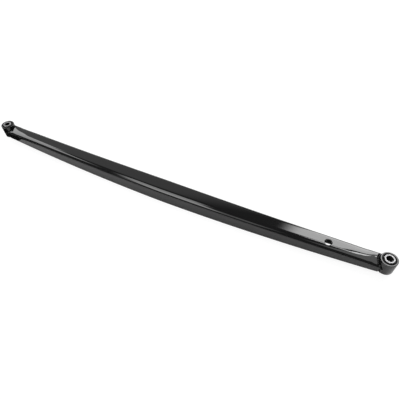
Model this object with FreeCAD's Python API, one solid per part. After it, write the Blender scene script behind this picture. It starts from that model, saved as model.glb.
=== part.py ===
import FreeCAD, Part
import math
import os

# Panhard rod: a pressed sheet-steel channel with a rubber-bushed eye welded across each end.
# X runs along the rod from the left bore to the right bore, Y across it, Z up along the bolt bores.
# The origin is the centre of the left bore. Lengths are in millimetres, angles in degrees.

eye_spacing = 1080.0       # between the centres of the two bolt bores

# Bush sleeves, bonded rubber and outer shells
bolt_bore = 14.2
sleeve_diameter = 22.0
sleeve_length = 38.0
shell_wall = 1.2
shell_length = 32.0
rubber_length = 31.6

# Eye tubes
tube_diameter = 36.0
tube_wall = 3.0
tube_length = 34.0
tube_rim_chamfer = 0.8

# Channel pressing: an upside-down U that is widest and deepest at mid-length
sheet = 3.0
web_above_eye_centre = 11.65
width_middle = 46.0
width_end = 35.0
width_power = 1.25         # how early the width starts to taper
depth_middle = 40.0
depth_end = 26.0
depth_power = 1.9          # how early the depth starts to taper
corner_middle = 11.0       # outer bend radius between web and flange
corner_end = 12.0
bow = 11.0                 # sideways set of the middle, toward -Y
crown_middle = 1.0         # slope of the web beside the bend, nearly flat
crown_end = 30.0
crown_run = 110.0          # the stretch before each eye centre in which the web turns into a crown
lean_end = 4.0             # slope toward -Y of the web's +Y edge at the trimmed end
lean_run = 34.0            # the stretch before the trimmed end in which that edge starts to lean
bend_steps = 10            # straight stretches from the middle to each end

# Trimmed ends of the channel, measured from the eye's centre
web_setback = 21.6
flange_root_gap = 0.1      # between the flange's inner edge and the tube
trim_round = 4.0
flange_trim_top = 1.0      # height at which the flange's end turns back to the web's end

# Pierced hole in the web near the right eye
hole_diameter = 15.0
hole_from_right_eye = 124.0
hole_side_step = 3.0       # from the web's centre line toward -Y
hole_rollover = 0.5

# Weld beads round the ends of the channel
bead_radius = 3.0
bead_below_web = 4.6       # depth of the bead's centre under the web's top where it crosses the web
bead_inset = 2.2           # depth of the bead's centre inside the flange's outer face
bead_lap = 2.4             # how far the bead's centre lies beyond the flange's end
bead_chords = 2            # straight lengths in each turn of the bead
bead_foot_gap = 0.0        # from the flange's lower edge up to the bead's lower end

tube_radius = tube_diameter / 2
shell_radius = tube_radius - tube_wall
rubber_radius = shell_radius - shell_wall
sleeve_radius = sleeve_diameter / 2
half_span = eye_spacing / 2
flange_foot_end = web_above_eye_centre - depth_end
eyes = {"left": 0.0, "right": eye_spacing}
inward = {"left": 1.0, "right": -1.0}   # direction along X from each eye to the middle of the rod

up = FreeCAD.Vector(0, 0, 1)


def point(x, y, z):
    return FreeCAD.Vector(x, y, z)


def ring(x, inner, outer, length, rim_chamfer=0.0):
    """Upright ring round an eye's centre, with chamfered outer rims if it has any."""
    top = length / 2
    corners = [point(inner, 0, top), point(outer - rim_chamfer, 0, top)]
    if rim_chamfer:
        corners.append(point(outer, 0, top - rim_chamfer))
    corners += [point(corner.x, 0, -corner.z) for corner in reversed(corners)]
    solid = Part.Face(Part.makePolygon(corners + corners[:1])).revolve(point(0, 0, 0), up, 360)
    solid.translate(point(x, 0, 0))
    return solid


def eye_tube(x):
    """Thick-walled tube with chamfered outer rims."""
    return ring(x, shell_radius, tube_radius, tube_length, tube_rim_chamfer)


def bush_shell(x):
    """Thin sleeve pressed into the eye tube."""
    return ring(x, rubber_radius, shell_radius, shell_length)


def bush_rubber(x):
    """Rubber bonded between the sleeve and the shell, a little shorter than both."""
    return ring(x, sleeve_radius, rubber_radius, rubber_length)


def bush_sleeve(x):
    """Inner sleeve with the bolt bore; its end faces stand proud of the tube."""
    return ring(x, bolt_bore / 2, sleeve_radius, sleeve_length)


def smooth_step(t):
    t = min(max(t, 0.0), 1.0)
    return t * t * (3 - 2 * t)


def centre_line(x):
    """Y of the channel's middle: a shallow bow that is back at zero at both eyes."""
    s = (x - half_span) / half_span
    return -bow * (1 - s * s)


def flange_setback():
    """How far from the eye's centre the flanges end: where their inner edges just clear the tube."""
    reach = width_end / 2 - sheet + centre_line(tube_radius)
    return flange_root_gap + math.sqrt(max(tube_radius**2 - reach**2, 0.0))


def channel_sizes(x):
    """Width, depth and outer bend radius at x, and the web's slope away from level at its two edges."""
    s = abs(x - half_span) / half_span
    width = width_end + (width_middle - width_end) * (1 - s**width_power)
    depth = depth_end + (depth_middle - depth_end) * (1 - s**depth_power)
    corner = corner_end + (corner_middle - corner_end) * (1 - s * s)
    to_eye = half_span * (1 - s)
    crown = crown_middle + (crown_end - crown_middle) * smooth_step(1 - to_eye / crown_run)
    lean = smooth_step(1 - (to_eye - web_setback) / lean_run)
    slope = {-1: math.radians(crown), 1: math.radians(crown * (1 - lean) - lean_end * lean)}
    return width, depth, corner, slope


def bend_places(x):
    """Centres (y, z) of the two bends and of the crown between them, and the crown's reach to them."""
    width, depth, corner, slope = channel_sizes(x)
    bend_y = width / 2 - corner
    reach = 2 * bend_y / (math.sin(slope[-1]) + math.sin(slope[1]))
    crown_y = centre_line(x) + bend_y - reach * math.sin(slope[1])
    crown_z = web_above_eye_centre - corner - reach * math.cos(min(slope[1], 0.0))
    places = {
        side: (centre_line(x) + side * bend_y, crown_z + reach * math.cos(slope[side]))
        for side in (-1, 1)
    }
    return places, (crown_y, crown_z), reach


def on_bend(x, side, angle, inset):
    """Point on a bend at a depth inside its outer face, with the angle measured from straight up."""
    corner = channel_sizes(x)[2]
    y, z = bend_places(x)[0][side]
    radius = corner - inset
    return point(x, y + side * radius * math.sin(angle), z + radius * math.cos(angle))


def shell_curve(x, inset):
    """One face of the sheet in section at x, foot to foot: line, bend, crown, bend, line."""
    width, depth, corner, slope = channel_sizes(x)
    crown_centre, reach = bend_places(x)[1:]
    foot = web_above_eye_centre - depth

    def flange(side):
        y = centre_line(x) + side * (width / 2 - inset)
        return [point(x, y, foot), on_bend(x, side, math.pi / 2, inset)]

    def corner_arc(side):
        halfway = (slope[side] + math.pi / 2) / 2
        return [on_bend(x, side, angle, inset) for angle in (math.pi / 2, halfway, slope[side])]

    middle = (slope[1] - slope[-1]) / 2
    radius = reach + corner - inset
    top = point(
        x, crown_centre[0] + radius * math.sin(middle), crown_centre[1] + radius * math.cos(middle)
    )
    return [
        Part.LineSegment(*flange(-1)).toShape(),
        Part.Arc(*corner_arc(-1)).toShape(),
        Part.Arc(on_bend(x, -1, slope[-1], inset), top, on_bend(x, 1, slope[1], inset)).toShape(),
        Part.Arc(*reversed(corner_arc(1))).toShape(),
        Part.LineSegment(*reversed(flange(1))).toShape(),
    ]


def channel_section(x):
    """Closed outline of the bent sheet at x."""
    outer = shell_curve(x, 0.0)
    inner = shell_curve(x, sheet)
    feet = [
        Part.LineSegment(outer[end].Vertexes[end].Point, inner[end].Vertexes[end].Point).toShape()
        for end in (0, -1)
    ]
    return Part.Wire(Part.__sortEdges__(outer + inner + feet))


def end_trim(x, direction):
    """Tool that trims the channel's end: the web stops short of the tube, the flanges reach its sides."""
    far = 2 * tube_radius
    web_end = x + direction * web_setback
    flange_end = x + direction * flange_setback()
    beyond = x - direction * far
    below = flange_foot_end - far
    above = web_above_eye_centre + far
    corners = [
        point(beyond, -far, below),
        point(flange_end, -far, below),
        point(flange_end, -far, flange_trim_top),
        point(web_end, -far, flange_trim_top + trim_round),
        point(web_end, -far, above),
        point(beyond, -far, above),
    ]
    face = Part.Face(Part.makePolygon(corners + corners[:1]))
    return face.extrude(point(0, 2 * far, 0))


def channel():
    steps = range(-bend_steps, bend_steps + 1)
    stations = [half_span * (1 + math.sin(math.pi / 2 * i / bend_steps)) for i in steps]
    body = Part.makeLoft([channel_section(x) for x in stations], True, True)
    for name, x in eyes.items():
        body = body.cut(end_trim(x, inward[name]))
    hole_x = eye_spacing - hole_from_right_eye
    hole_y = centre_line(hole_x) - hole_side_step
    radius = hole_diameter / 2
    base = web_above_eye_centre - 2 * sheet
    pierce = Part.makeCylinder(radius, 3 * sheet, point(hole_x, hole_y, base), up)
    mouth = Part.makeCone(
        radius,
        radius + 2 * hole_rollover,
        2 * hole_rollover,
        point(hole_x, hole_y, web_above_eye_centre - hole_rollover),
        up,
    )
    return body.cut(pierce).cut(mouth)


def bead_path(x, direction):
    """Centre line of the weld bead: up one flange's end, across the web's end and down the other."""
    side_x = x + direction * (flange_setback() - bead_lap)
    cross_x = x + direction * (tube_radius + web_setback) / 2
    cut = x + direction * web_setback
    slope = channel_sizes(cut)[3]

    def climb(side):
        shoulder = on_bend(cut, side, math.pi / 2, bead_inset)
        run = [point(side_x, shoulder.y, flange_foot_end + bead_foot_gap)]
        for chord in range(bead_chords + 1):
            share = chord / bead_chords
            angle = math.pi / 2 + (slope[side] - math.pi / 2) * share
            place = on_bend(cut, side, angle, bead_inset + (bead_below_web - bead_inset) * share)
            place.x = side_x + (cross_x - side_x) * math.sin(math.pi / 2 * share)
            run.append(place)
        return run

    return Part.makePolygon(climb(-1) + climb(1)[::-1])


def eye_weld(x, direction, pressing):
    """Round bead laid into the joint, less what the tube and the pressing take up."""
    path = bead_path(x, direction)
    profile = Part.Wire(Part.makeCircle(bead_radius, path.Vertexes[0].Point, up))
    bead = path.makePipeShell([profile], True, False, 1)
    tube_core = Part.makeCylinder(tube_radius, tube_length, point(x, 0, -tube_length / 2), up)
    return bead.cut(tube_core).cut(pressing)


def main():
    os.makedirs("parts", exist_ok=True)
    pressing = channel()
    nodes = {"channel": pressing}
    for name, x in eyes.items():
        nodes[name + "_eye_tube"] = eye_tube(x)
        nodes[name + "_eye_weld"] = eye_weld(x, inward[name], pressing)
        nodes[name + "_bush_shell"] = bush_shell(x)
        nodes[name + "_bush_rubber"] = bush_rubber(x)
        nodes[name + "_bush_sleeve"] = bush_sleeve(x)
    for node, shape in nodes.items():
        box = shape.BoundBox
        print(
            f"{node}: solids {len(shape.Solids)}, valid {shape.isValid()}, volume {shape.Volume:.1f},"
            f" x {box.XMin:.2f} {box.XMax:.2f}, y {box.YMin:.2f} {box.YMax:.2f},"
            f" z {box.ZMin:.2f} {box.ZMax:.2f}"
        )
        shape.exportStep(f"parts/{node}.step")


main()
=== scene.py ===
import math
from typing import NamedTuple

import bpy
from mathutils import Matrix, Vector


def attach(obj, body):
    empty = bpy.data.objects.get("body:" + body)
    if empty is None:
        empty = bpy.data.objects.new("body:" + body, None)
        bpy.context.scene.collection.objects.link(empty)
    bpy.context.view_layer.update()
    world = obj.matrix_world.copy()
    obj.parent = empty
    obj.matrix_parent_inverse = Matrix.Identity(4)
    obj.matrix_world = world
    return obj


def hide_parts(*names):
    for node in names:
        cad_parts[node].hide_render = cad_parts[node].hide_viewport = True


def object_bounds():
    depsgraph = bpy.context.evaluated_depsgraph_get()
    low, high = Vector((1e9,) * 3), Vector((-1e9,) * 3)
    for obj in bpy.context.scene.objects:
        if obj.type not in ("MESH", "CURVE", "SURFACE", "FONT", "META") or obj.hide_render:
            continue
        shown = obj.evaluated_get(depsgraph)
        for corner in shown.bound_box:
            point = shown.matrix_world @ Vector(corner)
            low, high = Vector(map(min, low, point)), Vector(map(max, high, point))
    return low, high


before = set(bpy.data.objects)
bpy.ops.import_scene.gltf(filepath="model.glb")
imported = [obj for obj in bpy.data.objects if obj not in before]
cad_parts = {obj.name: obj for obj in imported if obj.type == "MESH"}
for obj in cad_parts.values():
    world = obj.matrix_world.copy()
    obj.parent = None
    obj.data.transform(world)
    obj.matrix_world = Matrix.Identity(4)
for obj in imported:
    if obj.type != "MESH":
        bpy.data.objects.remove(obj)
cad_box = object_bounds()


# Channel: one pressing of 3 mm sheet steel, an upside-down U that is deepest and widest at mid-length
# and bowed to the front. It is dipped in gloss black chassis paint after the eyes are welded on: almost
# a mirror, with a faint orange peel and a little dust-dulled haze.
eye_gap = 1.080
half_gap = eye_gap / 2
sheet = 0.003
web_height = 0.01165               # above the middle of the eyes
width_end, width_middle, width_power = 0.035, 0.046, 1.25
depth_end, depth_middle, depth_power = 0.026, 0.040, 1.9
bend_end, bend_middle = 0.012, 0.011
bow = 0.011                        # sideways set of the middle, to the front
crown_end, crown_middle = math.radians(30), math.radians(1)
crown_run = 0.110                  # stretch before each eye in which the web turns into a crown
lean_end = math.radians(4)         # slope of the web's back edge at the cut
lean_run = 0.034                   # stretch before the cut in which that edge starts to lean
flange_end = 0.01168               # the three cuts are measured from the eye's axis
web_end = 0.0216
coping = 0.0229
trim_height = (0.001, 0.005)       # between these heights the cut steps back from flange to web
even_from = 0.06                   # farther from the eye than this, the rows stay where they are
hole_place = (0.956, -0.00747)
hole_radius = 0.0075
hole_cleared = 0.0093              # the grid's faces inside this radius make way for the round rim
hole_near = 0.016                  # the cleared patch's edges all lie inside this radius
plain_rows, end_rows, hole_rows = 0.006, 0.0025, 0.0012
end_stretch, hole_stretch = 0.08, 0.014
flange_steps, bend_steps, web_steps = 9, 16, 18


class Section(NamedTuple):
    """Outer face of the bent sheet, cut across the rod."""

    half_width: float
    foot: float        # height of the flanges' lower edges
    radius: float      # of the bends between flanges and web
    side: float        # from the middle line to each bend's centre
    reach: float       # from the crown's centre to each bend's centre
    middle: tuple      # the crown's centre: y from the middle line, and z
    front: float       # slope of the web's front edge
    back: float        # slope of the web's back edge


def eased(share):
    share = min(max(share, 0.0), 1.0)
    return share * share * (3 - 2 * share)


def bow_middle(x):
    """Y of the channel's middle line."""
    return -bow * (1 - ((x - half_gap) / half_gap) ** 2)


def pressed_section(x):
    along = min(abs(x - half_gap) / half_gap, 1.0)
    to_eye = half_gap * (1 - along)
    half_width = (width_end + (width_middle - width_end) * (1 - along ** width_power)) / 2
    foot = web_height - depth_end - (depth_middle - depth_end) * (1 - along ** depth_power)
    radius = bend_end + (bend_middle - bend_end) * (1 - along ** 2)
    crown = crown_middle + (crown_end - crown_middle) * eased(1 - to_eye / crown_run)
    lean = eased(1 - (to_eye - web_end) / lean_run)
    back = crown * (1 - lean) - lean_end * lean
    side = half_width - radius
    reach = 2 * side / (math.sin(crown) + math.sin(back))
    middle_y = side - reach * math.sin(back)
    middle_z = web_height - radius - reach * math.cos(min(back, 0.0))
    return Section(half_width, foot, radius, side, reach, (middle_y, middle_z), crown, back)


def pressed_height(x, y):
    """Height of the channel's outer face at a place seen from above."""
    section = pressed_section(x)
    y -= bow_middle(x)
    crown_radius = section.reach + section.radius
    from_middle = y - section.middle[0]
    if -crown_radius * math.sin(section.front) <= from_middle <= crown_radius * math.sin(section.back):
        return section.middle[1] + math.sqrt(crown_radius ** 2 - from_middle ** 2)
    turn = section.front if y < 0 else section.back
    bend_z = section.middle[1] + section.reach * math.cos(turn)
    from_bend = abs(y) - section.side
    return bend_z + math.sqrt(max(section.radius ** 2 - from_bend ** 2, 0.0))


def pressed_outline(x):
    """Points (y, z) of the outer face from the front foot over the web to the back foot."""
    section = pressed_section(x)
    middle_y, middle_z = section.middle
    crown_radius = section.reach + section.radius
    front_z = middle_z + section.reach * math.cos(section.front)
    back_z = middle_z + section.reach * math.cos(section.back)
    outline = []
    for i in range(flange_steps):
        z = section.foot + (front_z - section.foot) * i / flange_steps
        outline.append((-section.half_width, z))
    for i in range(bend_steps):
        turn = math.pi / 2 + (section.front - math.pi / 2) * i / bend_steps
        y = -section.side - section.radius * math.sin(turn)
        outline.append((y, front_z + section.radius * math.cos(turn)))
    for i in range(web_steps):
        turn = -section.front + (section.front + section.back) * i / web_steps
        y = middle_y + crown_radius * math.sin(turn)
        outline.append((y, middle_z + crown_radius * math.cos(turn)))
    for i in range(bend_steps):
        turn = section.back + (math.pi / 2 - section.back) * i / bend_steps
        y = section.side + section.radius * math.sin(turn)
        outline.append((y, back_z + section.radius * math.cos(turn)))
    for i in range(flange_steps + 1):
        z = back_z + (section.foot - back_z) * i / flange_steps
        outline.append((section.half_width, z))
    return [(y + bow_middle(x), z) for y, z in outline]


def stations():
    """Places along the rod for the sheet's rows: close together near the ends and round the hole."""
    places = []
    x = 0.0
    while x < eye_gap:
        places.append(x)
        if abs(x - hole_place[0]) < hole_stretch:
            x += hole_rows
        elif min(x, eye_gap - x) < end_stretch:
            x += end_rows
        else:
            x += plain_rows
    return places + [eye_gap]


def trimmed(x, y_at_end, z_at_end):
    """Pulls a row's place in from the eye to where the sheet was cut: the flanges just short of the
    tube, the web along an arc that keeps a gap to it."""
    low, high = trim_height
    share = min(max((z_at_end - low) / (high - low), 0.0), 1.0)
    cut = flange_end + (math.sqrt(coping ** 2 - y_at_end ** 2) - flange_end) * share
    from_eye = min(x, eye_gap - x)
    if from_eye >= even_from:
        return x
    from_eye = cut + (even_from - cut) * from_eye / even_from
    return from_eye if x < half_gap else eye_gap - from_eye


rows = stations()
end_outline = pressed_outline(web_end)
columns = len(end_outline)
bpy.ops.object.select_all(action="DESELECT")
bpy.ops.mesh.primitive_grid_add(
    x_subdivisions=len(rows) - 1, y_subdivisions=columns - 1, size=1.0, location=(0.5, 0.5, 0.0)
)
channel = bpy.context.object
channel.name = "channel_pressing"
bpy.ops.object.transform_apply(location=True, rotation=True, scale=True)
for vertex in channel.data.vertices:
    row = round(vertex.co.x * (len(rows) - 1))
    column = round(vertex.co.y * (columns - 1))
    x = trimmed(rows[row], *end_outline[column])
    y, z = pressed_outline(x)[column]
    vertex.co = (x, y, z)

bpy.ops.object.mode_set(mode="EDIT")
bpy.ops.mesh.select_all(action="DESELECT")
bpy.ops.object.mode_set(mode="OBJECT")
for face in channel.data.polygons:
    place = face.center
    if place.z > 0 and math.dist((place.x, place.y), hole_place) < hole_cleared:
        face.select = True
bpy.ops.object.mode_set(mode="EDIT")
bpy.ops.mesh.select_mode(type="FACE")
bpy.ops.mesh.delete(type="FACE")
bpy.ops.mesh.select_mode(type="VERT")
bpy.ops.mesh.select_all(action="DESELECT")
bpy.ops.mesh.select_non_manifold()
bpy.ops.object.mode_set(mode="OBJECT")
for vertex in channel.data.vertices:
    if math.dist((vertex.co.x, vertex.co.y), hole_place) > hole_near or vertex.co.z < 0:
        vertex.select = False
for edge in channel.data.edges:
    edge.select = all(channel.data.vertices[i].select for i in edge.vertices)
bpy.ops.object.mode_set(mode="EDIT")
bpy.ops.mesh.select_mode(type="EDGE")
bpy.ops.mesh.extrude_edges_move()
bpy.ops.mesh.select_mode(type="VERT")
bpy.ops.object.mode_set(mode="OBJECT")
for vertex in channel.data.vertices:
    if vertex.select:
        off = Vector((vertex.co.x - hole_place[0], vertex.co.y - hole_place[1]))
        off = off.normalized() * hole_radius
        x, y = hole_place[0] + off.x, hole_place[1] + off.y
        vertex.co = (x, y, pressed_height(x, y))
bpy.ops.object.mode_set(mode="EDIT")
bpy.ops.mesh.select_all(action="SELECT")
bpy.ops.mesh.normals_make_consistent(inside=False)
bpy.ops.object.mode_set(mode="OBJECT")
web_faces = [face for face in channel.data.polygons if face.center.z > web_height - 0.001]
if sum(face.normal.z for face in web_faces) < 0:
    channel.data.flip_normals()

thickness = channel.modifiers.new("sheet", "SOLIDIFY")
thickness.thickness = sheet
thickness.offset = -1.0
thickness.use_even_offset = True
bpy.ops.object.modifier_apply(modifier="sheet")
worn_edge = channel.modifiers.new("edge", "BEVEL")
worn_edge.width = 0.0004
worn_edge.segments = 2
worn_edge.limit_method = "ANGLE"
worn_edge.angle_limit = math.radians(50)
bpy.ops.object.modifier_apply(modifier="edge")
bpy.ops.object.shade_smooth_by_angle(angle=math.radians(40))


class Value:
    """A shader socket that takes part in arithmetic, adding the Math nodes that it needs."""

    def __init__(self, graph, socket):
        self.graph = graph
        self.socket = socket

    def __add__(self, other):
        return self.graph.math("ADD", self, other)

    def __rsub__(self, other):
        return self.graph.math("SUBTRACT", other, self)

    def __mul__(self, other):
        return self.graph.math("MULTIPLY", self, other)

    def clipped(self, low, high):
        """This value mapped from low..high to 0..1 with a smooth start and end."""
        return self.graph.node(
            "ShaderNodeMapRange",
            {"interpolation_type": "SMOOTHSTEP"},
            {"Value": self, "From Min": low, "From Max": high},
        )


class Finish:
    """One procedural material, built node by node."""

    def __init__(self, name):
        self.material = bpy.data.materials.new(name)
        self.material.use_nodes = True
        self.tree = self.material.node_tree
        self.tree.nodes.clear()

    def node(self, kind, settings=None, inputs=None, output=0):
        made = self.tree.nodes.new(kind)
        for name, value in (settings or {}).items():
            setattr(made, name, value)
        for name, value in (inputs or {}).items():
            if isinstance(value, Value):
                self.tree.links.new(value.socket, made.inputs[name])
            else:
                made.inputs[name].default_value = value
        return Value(self, made.outputs[output]) if made.outputs else None

    def math(self, operation, first, second):
        return self.node("ShaderNodeMath", {"operation": operation}, {0: first, 1: second})

    def place(self):
        return self.node("ShaderNodeTexCoord", output="Object")

    def noise(self, scale, detail=2.0, roughness=0.5, stretch=(1, 1, 1)):
        where = self.node("ShaderNodeMapping", None, {"Vector": self.place(), "Scale": stretch})
        return self.node(
            "ShaderNodeTexNoise",
            None,
            {"Vector": where, "Scale": scale, "Detail": detail, "Roughness": roughness},
        )

    def blend(self, share, first, second):
        """Colour between two colours, by a share from 0 to 1."""
        return self.node(
            "ShaderNodeMix",
            {"data_type": "RGBA"},
            {"Factor": share, 6: first, 7: second},
            output=2,
        )

    def bump(self, height, distance, strength=1.0):
        return self.node(
            "ShaderNodeBump", None, {"Height": height, "Distance": distance, "Strength": strength}
        )

    def surface(self, inputs):
        shader = self.node("ShaderNodeBsdfPrincipled", None, inputs)
        self.node("ShaderNodeOutputMaterial", None, {"Surface": shader})
        return self.material


def gloss_black_paint(name):
    finish = Finish(name)
    orange_peel = finish.noise(420.0, 2.0, 0.5)
    sag = finish.noise(26.0, 1.0, 0.4, stretch=(0.25, 1, 1))
    haze = finish.noise(9.0, 3.0, 0.6)
    height = orange_peel * 0.35 + sag
    return finish.surface({
        "Base Color": finish.blend(haze, (0.004, 0.004, 0.0041, 1), (0.006, 0.006, 0.0062, 1)),
        "Roughness": haze * 0.03 + 0.035,
        "IOR": 1.62,
        "Normal": finish.bump(height, 0.00003),
    })


paint = gloss_black_paint("gloss black chassis paint")
channel.data.materials.append(paint)
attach(channel, "root")
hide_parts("channel")


# Eye tubes: short cuts of thick-walled drawn tube that stand across the channel's ends and carry the
# bushes. Their faces are turned flat and their rims rolled over, and they get the channel's coat of
# paint.
eye_places = {"left": 0.0, "right": eye_gap}
same_place = 0.00001


def turned_ring(name, centre_x, inner, outer, height, rims, face_steps=0):
    """Ring turned about an eye's middle: rims are the roundings of its inner and outer edges, and
    face_steps is the number of cuts across each end face that leave it free to be dished."""
    bpy.ops.object.select_all(action="DESELECT")
    bpy.ops.mesh.primitive_plane_add(
        size=1.0,
        location=(centre_x + (inner + outer) / 2, 0.0, 0.0),
        rotation=(math.pi / 2, 0.0, 0.0),
    )
    made = bpy.context.object
    made.name = name
    made.scale = (outer - inner, height, 1.0)
    bpy.ops.object.transform_apply(location=True, rotation=True, scale=True)
    for radius, rim in zip((inner, outer), rims):
        if rim == 0:
            continue
        bpy.ops.object.mode_set(mode="EDIT")
        bpy.ops.mesh.select_mode(type="VERT")
        bpy.ops.mesh.select_all(action="DESELECT")
        bpy.ops.object.mode_set(mode="OBJECT")
        for vertex in made.data.vertices:
            vertex.select = abs(vertex.co.x - centre_x - radius) < same_place
        bpy.ops.object.mode_set(mode="EDIT")
        bpy.ops.mesh.bevel(offset=rim, segments=5, affect="VERTICES")
        bpy.ops.object.mode_set(mode="OBJECT")
    bpy.ops.object.mode_set(mode="EDIT")
    bpy.ops.mesh.select_all(action="SELECT")
    bpy.ops.mesh.delete(type="ONLY_FACE")
    if face_steps:
        bpy.ops.mesh.select_mode(type="EDGE")
        bpy.ops.mesh.select_all(action="DESELECT")
        bpy.ops.object.mode_set(mode="OBJECT")
        for edge in made.data.edges:
            first, last = (made.data.vertices[i].co for i in edge.vertices)
            edge.select = abs(first.z - last.z) < same_place
        bpy.ops.object.mode_set(mode="EDIT")
        bpy.ops.mesh.subdivide(number_cuts=face_steps)
        bpy.ops.mesh.select_mode(type="VERT")
    bpy.ops.object.mode_set(mode="OBJECT")
    return made


def spun(made, centre_x):
    """Turns a ring's profile into the whole ring."""
    bpy.ops.object.mode_set(mode="EDIT")
    bpy.ops.mesh.select_all(action="SELECT")
    bpy.ops.mesh.spin(steps=96, angle=2 * math.pi, center=(centre_x, 0, 0), axis=(0, 0, 1))
    bpy.ops.mesh.select_all(action="SELECT")
    bpy.ops.mesh.remove_doubles(threshold=0.000002)
    bpy.ops.mesh.normals_make_consistent(inside=False)
    bpy.ops.object.mode_set(mode="OBJECT")
    bpy.ops.object.shade_smooth_by_angle(angle=math.radians(30))


for end, centre_x in eye_places.items():
    tube = turned_ring(
        end + "_tube", centre_x, inner=0.015, outer=0.018, height=0.034, rims=(0.0003, 0.0007)
    )
    spun(tube, centre_x)
    tube.data.materials.append(paint)
    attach(tube, "root")
    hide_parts(end + "_eye_tube")


# Weld beads: laid by hand round the channel's ends, up one flange, across the web's end and down the
# other. The puddles overlap in ripples about 2 mm apart. The bead is fatter and dressed flat where it
# turns on to the web, and it is painted over.
bead_radius = 0.0029
bead_rounds = 14
bead_inset = 0.0022                # depth of the bead's centre inside the flange's face
bead_sink = 0.0030                 # how much deeper it lies where it crosses the web's end
beside_flange = 0.0179             # its distance from the eye's axis along the flanges
beside_web = 0.0202                # and across the web's end
climb_steps = 24
crossing_steps = 9
ripple_pitch = 0.0021
ripple_steps = 6
ripple_low, ripple_rise = 0.955, 0.06
bulge = 0.0022
bulge_spread = 0.0021
bulge_reach = 0.006
bulge_corners = ((-0.0103, 0.0070), (0.0091, 0.0106))   # y, and the height it is dressed flat at


def bead_climb(section, edge, turn):
    """Places (y, z, distance from the eye's axis) up a flange and round its bend, at one edge."""
    shoulder_z = section.middle[1] + section.reach * math.cos(turn)
    climb = []
    for i in range(climb_steps):
        z = section.foot + (shoulder_z - section.foot) * i / climb_steps
        climb.append((edge * (section.half_width - bead_inset), z, beside_flange))
    for i in range(climb_steps + 1):
        share = i / climb_steps
        angle = math.pi / 2 + (turn - math.pi / 2) * share
        bend = section.radius - bead_inset - bead_sink * share
        y = edge * (section.side + bend * math.sin(angle))
        z = shoulder_z + bend * math.cos(angle)
        climb.append((y, z, beside_flange + (beside_web - beside_flange) * share))
    return climb


def bead_spine(centre_x, toward_middle):
    """Places of the bead's centre, close together, from the front flange's foot to the back one's."""
    cut = centre_x + toward_middle * web_end
    section = pressed_section(cut)
    front = bead_climb(section, -1, section.front)
    back = bead_climb(section, 1, section.back)[::-1]
    crossing = [
        tuple(a + (b - a) * i / crossing_steps for a, b in zip(front[-1], back[0]))
        for i in range(1, crossing_steps)
    ]
    places = []
    for y, z, from_axis in front + crossing + back:
        y += bow_middle(cut)
        x = centre_x + toward_middle * math.sqrt(max(from_axis ** 2 - y ** 2, 0.0))
        places.append(Vector((x, y, z)))
    return places


def even_steps(spine, step):
    """The same line with its places a fixed step apart."""
    places = [spine[0]]
    left = step
    for first, last in zip(spine, spine[1:]):
        span = (last - first).length
        done = 0.0
        while span - done >= left:
            done += left
            places.append(first.lerp(last, done / span))
            left = step
        left -= span - done
    return places


def painted_weld(name):
    finish = Finish(name)
    ripple = finish.noise(700.0, 1.0, 0.5)
    return finish.surface({
        "Base Color": (0.0035, 0.0035, 0.0037, 1),
        "Roughness": ripple * 0.08 + 0.12,
        "IOR": 1.62,
        "Normal": finish.bump(ripple, 0.0003),
    })


weld_paint = painted_weld("paint over weld")
for end, centre_x in eye_places.items():
    spine = even_steps(bead_spine(centre_x, 1 if end == "left" else -1), ripple_pitch / ripple_steps)
    rows_along = len(spine)
    corners = [
        (min((place for place in spine if place.z > 0), key=lambda place: abs(place.y - y)), dressed)
        for y, dressed in bulge_corners
    ]
    bpy.ops.object.select_all(action="DESELECT")
    bpy.ops.mesh.primitive_grid_add(
        x_subdivisions=rows_along - 1, y_subdivisions=bead_rounds, size=1.0, location=(0.5, 0.5, 0.0)
    )
    bead = bpy.context.object
    bead.name = end + "_weld_bead"
    bpy.ops.object.transform_apply(location=True, rotation=True, scale=True)
    for vertex in bead.data.vertices:
        row = round(vertex.co.x * (rows_along - 1))
        round_place = 2 * math.pi * round(vertex.co.y * bead_rounds) / bead_rounds
        ahead = spine[min(row + 1, rows_along - 1)] - spine[max(row - 1, 0)]
        outward = ahead.cross(Vector((1.0, 0.0, 0.0))).normalized()
        sideways = ahead.cross(outward).normalized()
        from_end = min(row, rows_along - 1 - row) * ripple_pitch / ripple_steps
        share = min(from_end / bead_radius, 1.0)
        thick = bead_radius * math.sqrt(max(1 - (1 - share) ** 2, 0.0))
        puddle = (row / ripple_steps) % 1.0
        thick *= ripple_low + ripple_rise * math.sqrt(1 - puddle ** 2)
        for corner, _ in corners:
            thick += bulge * math.exp(-((spine[row] - corner).length / bulge_spread) ** 2)
        vertex.co = (
            spine[row]
            + outward * thick * math.cos(round_place)
            + sideways * thick * math.sin(round_place)
        )
        for corner, dressed in corners:
            if (spine[row] - corner).length < bulge_reach:
                vertex.co.z = min(vertex.co.z, dressed)
    bpy.ops.object.mode_set(mode="EDIT")
    bpy.ops.mesh.select_all(action="SELECT")
    bpy.ops.mesh.remove_doubles(threshold=0.000005)
    bpy.ops.mesh.normals_make_consistent(inside=False)
    bpy.ops.object.mode_set(mode="OBJECT")
    bpy.ops.object.shade_smooth_by_angle(angle=math.radians(50))
    bead.data.materials.append(weld_paint)
    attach(bead, "root")
    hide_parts(end + "_eye_weld")


# Bush shells: thin steel outer sleeves pressed into the tubes, a millimetre short of their faces. The
# steel is phosphated almost black, with drawn, softly rounded mouths.
def phosphated_steel(name):
    finish = Finish(name)
    speck = finish.noise(1500.0, 3.0, 0.6)
    return finish.surface({
        "Base Color": finish.blend(speck, (0.012, 0.012, 0.012, 1), (0.03, 0.03, 0.03, 1)),
        "Roughness": speck * 0.2 + 0.4,
        "Normal": finish.bump(speck, 0.00002),
    })


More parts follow.
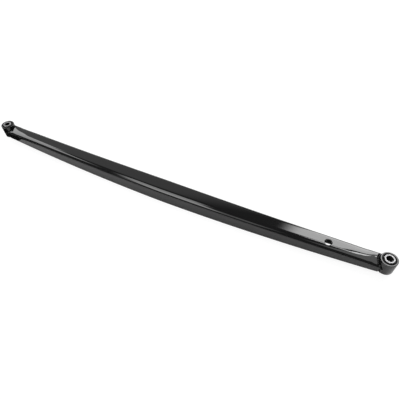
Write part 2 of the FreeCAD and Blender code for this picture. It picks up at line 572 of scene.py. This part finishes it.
shell_steel = phosphated_steel("phosphated shell steel")
for end, centre_x in eye_places.items():
    shell = turned_ring(
        end + "_shell", centre_x, inner=0.0138, outer=0.015, height=0.032, rims=(0.0003, 0.0004)
    )
    spun(shell, centre_x)
    shell.data.materials.append(shell_steel)
    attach(shell, "root")
    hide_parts(end + "_bush_shell")


# Bush rubber: moulded between shell and sleeve and bonded to both. Its end faces climb a little up the
# two steels and dip between them; the rubber is matt black with a fine mould grain.
def moulded_rubber(name):
    finish = Finish(name)
    grain = finish.noise(2600.0, 2.0, 0.6)
    bloom = finish.noise(180.0, 3.0, 0.6)
    return finish.surface({
        "Base Color": finish.blend(bloom, (0.006, 0.006, 0.006, 1), (0.012, 0.012, 0.0117, 1)),
        "Roughness": bloom * 0.15 + 0.6,
        "Specular IOR Level": 0.3,
        "Normal": finish.bump(grain, 0.00003),
    })


rubber_finish = moulded_rubber("moulded bush rubber")
rubber_inner, rubber_outer = 0.011, 0.0138
rubber_dip = 0.0022
for end, centre_x in eye_places.items():
    rubber = turned_ring(
        end + "_rubber", centre_x, rubber_inner, rubber_outer, height=0.0316, rims=(0.0, 0.0), face_steps=11
    )
    for vertex in rubber.data.vertices:
        share = (vertex.co.x - centre_x - rubber_inner) / (rubber_outer - rubber_inner)
        dip = rubber_dip * max(math.sin(math.pi * share), 0.0) ** 0.8
        vertex.co.z -= math.copysign(dip, vertex.co.z)
    spun(rubber, centre_x)
    rubber.data.materials.append(rubber_finish)
    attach(rubber, "root")
    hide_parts(end + "_bush_rubber")


# Bush sleeves: turned steel with a dull zinc plating, a little longer than the tubes so that the bracket
# clamps them alone.
# The lathe leaves fine rings on the end faces. The bore and the inner edge of its mouth are coloured dark
# and hardly
# metallic: painted shade inside the hole.
bore_radius = 0.0071
# the painted shade inside the bore fades out by this radius
bore_shade_until = 0.0077
lathe_pitch = 0.00045


def turned_zinc(name, centre_x):
    finish = Finish(name)
    where = finish.node(
        "ShaderNodeVectorMath",
        {"operation": "MULTIPLY"},
        {
            0: finish.node(
                "ShaderNodeVectorMath",
                {"operation": "SUBTRACT"},
                {0: finish.place(), 1: (centre_x, 0, 0)},
            ),
            1: (1, 1, 0),
        },
    )
    radius = finish.node("ShaderNodeVectorMath", {"operation": "LENGTH"}, {0: where}, output="Value")
    # painted shade: dark, hardly metallic colour from the bore's wall out to just past its rounded mouth
    out_of_bore_shade = radius.clipped(bore_radius, bore_shade_until)
    rings = finish.math("SINE", radius * (2 * math.pi / lathe_pitch), 0.0)
    patina = finish.noise(220.0, 3.0, 0.6)
    zinc = finish.blend(patina, (0.30, 0.30, 0.305, 1), (0.40, 0.40, 0.405, 1))
    return finish.surface({
        "Base Color": finish.blend(out_of_bore_shade, (0.012, 0.012, 0.012, 1), zinc),
        "Metallic": out_of_bore_shade * 0.9 + 0.1,
        "Roughness": patina * 0.1 + 0.42,
        "Normal": finish.bump(rings, 0.00001, 0.6),
    })


for end, centre_x in eye_places.items():
    sleeve = turned_ring(
        end + "_sleeve", centre_x, inner=bore_radius, outer=0.011, height=0.038, rims=(0.0008, 0.0006)
    )
    spun(sleeve, centre_x)
    sleeve.data.materials.append(turned_zinc(end + " turned zinc", centre_x))
    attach(sleeve, "root")
    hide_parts(end + "_bush_sleeve")


# Floor: a plain white studio floor that the rod lies on. The camera sees it almost evenly white, with
# only a soft trace of the rod's shadow; the gloss sees it as the lamps light it.
floor_z = cad_box[0][2]
floor_glow = 1.12
glow_share = 0.78                  # how much of what the camera sees is glow instead of lit floor
bpy.ops.object.select_all(action="DESELECT")
bpy.ops.mesh.primitive_plane_add(size=12.0, location=(half_gap, 0.0, floor_z))
floor = bpy.context.object
floor.name = "studio_floor"
floor_finish = Finish("studio floor")
lit = floor_finish.node("ShaderNodeBsdfDiffuse", None, {"Color": (0.84, 0.84, 0.84, 1)})
glow = floor_finish.node("ShaderNodeEmission", None, {"Color": (1, 1, 1, 1), "Strength": floor_glow})
sight = floor_finish.node("ShaderNodeLightPath", output="Is Camera Ray")
shown = floor_finish.node("ShaderNodeMixShader", None, {"Fac": sight * glow_share, 1: lit, 2: glow})
floor_finish.node("ShaderNodeOutputMaterial", None, {"Surface": shown})
floor.data.materials.append(floor_finish.material)


# Studio: cloth-fronted soft boxes far from the rod, each given by where it stands as seen from the
# rod's middle. Bearings turn from straight behind the rod (+Y) towards +X; all angles are in degrees.
rod_middle = Vector((half_gap, 0.0, 0.0))
box_distance = 20.0


def soft_box(name, bearing, elevation, width, height, radiance, lean=0, fade=2):
    """Glowing cloth, turned about its own middle by lean, that fades out on both sides of its edges."""
    turn = math.radians(bearing)
    lift = math.radians(elevation)
    toward = Vector((
        math.sin(turn) * math.cos(lift), math.cos(turn) * math.cos(lift), math.sin(lift)
    ))
    facing = toward.to_track_quat("Z", "Y").to_matrix().to_4x4()
    half = [box_distance * math.tan(math.radians(span / 2)) for span in (width, height)]
    soft = box_distance * math.tan(math.radians(fade))
    bpy.ops.object.select_all(action="DESELECT")
    bpy.ops.mesh.primitive_plane_add(size=2.0)
    cloth = bpy.context.object
    cloth.name = name
    cloth.matrix_world = (
        Matrix.Translation(rod_middle + toward * box_distance)
        @ facing
        @ Matrix.Rotation(math.radians(lean), 4, "Z")
        @ Matrix.Diagonal((half[0] + soft, half[1] + soft, 1.0, 1.0))
    )
    finish = Finish(name)
    across = finish.node("ShaderNodeSeparateXYZ", None, {"Vector": finish.place()}, output="X")
    along = finish.node("ShaderNodeSeparateXYZ", None, {"Vector": finish.place()}, output="Y")
    share = 1.0
    for place, reach in ((across, half[0]), (along, half[1])):
        from_middle = finish.math("ABSOLUTE", place, 0.0) * (reach + soft)
        share = (1 - from_middle.clipped(reach - soft, reach + soft)) * share
    light = finish.node(
        "ShaderNodeEmission", None, {"Color": (1, 1, 1, 1), "Strength": share * radiance}
    )
    clear = finish.node("ShaderNodeBsdfTransparent")
    both = finish.node("ShaderNodeAddShader", None, {0: light, 1: clear})
    finish.node("ShaderNodeOutputMaterial", None, {"Surface": both})
    cloth.data.materials.append(finish.material)
    cloth.visible_camera = False
    cloth.visible_shadow = False


# Tall box behind the right eye: the pale web at that end and the right tube's end face.
soft_box("back_key", bearing=7, elevation=34, width=16, height=50, radiance=6)
# Window to the left: the pale flare at the left eye.
soft_box("left_window", bearing=-95, elevation=36, width=45, height=24, radiance=3.5)
# Long box leaning over the front: the highlight along the front bend.
soft_box("front_slant", bearing=-145, elevation=45, width=60, height=16, radiance=3, lean=-60)
# Lower box in front: carries that highlight on to the right.
soft_box("front_fill", bearing=-160, elevation=28, width=28, height=30, radiance=1.0)
# Dim wall behind on the left: the dark grey of the web from the left eye to mid-length.
soft_box("back_wall", bearing=-45, elevation=32, width=50, height=40, radiance=0.4, fade=4)
# Broad box overhead on the right: the right eye and the slope beside it.
soft_box("right_overhead", bearing=95, elevation=70, width=90, height=24, radiance=1.2, fade=3)
# Narrow strip high behind: the thin light line along the web near the hole.
soft_box("overhead_line", bearing=20, elevation=70, width=14, height=8, radiance=9, fade=0.5)


# Black cards on the floor, out of the picture: one beside the left eye, whose side and flange mirror it,
# and one along the front that ends the pale floor and draws the dark line under the bend's highlight.
def black_card(name, left, right, front, back, height):
    bpy.ops.object.select_all(action="DESELECT")
    bpy.ops.mesh.primitive_plane_add(
        size=1.0, location=((left + right) / 2, (front + back) / 2, floor_z + height)
    )
    card = bpy.context.object
    card.name = name
    card.scale = (right - left, back - front, 1.0)
    bpy.ops.object.transform_apply(location=True, rotation=True, scale=True)
    finish = Finish(name)
    black = finish.node("ShaderNodeBsdfDiffuse", None, {"Color": (0.01, 0.01, 0.01, 1)})
    finish.node("ShaderNodeOutputMaterial", None, {"Surface": black})
    card.data.materials.append(finish.material)
    card.visible_camera = False
    card.visible_shadow = False
    card.visible_diffuse = False


black_card("left_card", -0.60, 0.03, -0.45, -0.02, 0.0004)
black_card("front_card", -0.60, 1.90, -1.40, -0.13, 0.0006)


# Room: dim, even air that lights the rod from all round. The camera sees plain white in its place.
world = bpy.data.worlds.new("studio")
bpy.context.scene.world = world
world.use_nodes = True
air = world.node_tree
air.nodes.clear()
path = air.nodes.new("ShaderNodeLightPath")
room = air.nodes.new("ShaderNodeBackground")
room.inputs["Color"].default_value = (0.1, 0.1, 0.1, 1)
paper = air.nodes.new("ShaderNodeBackground")
paper.inputs["Color"].default_value = (1, 1, 1, 1)
choose = air.nodes.new("ShaderNodeMixShader")
sky = air.nodes.new("ShaderNodeOutputWorld")
air.links.new(path.outputs["Is Camera Ray"], choose.inputs["Fac"])
air.links.new(room.outputs[0], choose.inputs[1])
air.links.new(paper.outputs[0], choose.inputs[2])
air.links.new(choose.outputs[0], sky.inputs["Surface"])


# Camera: up in front of the rod's right end, looking down and along it to the left.
camera_place = Vector((0.93309, -0.52959, 0.70408))
camera_turn = math.radians(29.049)
camera_tilt = math.radians(40.210)
camera_roll = math.radians(-3.209)
camera_data = bpy.data.cameras.new("camera")
camera_data.sensor_width = 36.0
camera_data.lens = 33.80
camera_data.clip_end = 50.0
camera = bpy.data.objects.new("camera", camera_data)
bpy.context.collection.objects.link(camera)
camera.matrix_world = (
    Matrix.Translation(camera_place)
    @ Matrix.Rotation(camera_turn, 4, "Z")
    @ Matrix.Rotation(camera_tilt, 4, "X")
    @ Matrix.Rotation(camera_roll, 4, "Z")
)
bpy.context.scene.camera = camera
bpy.context.scene.view_settings.view_transform = "Standard"
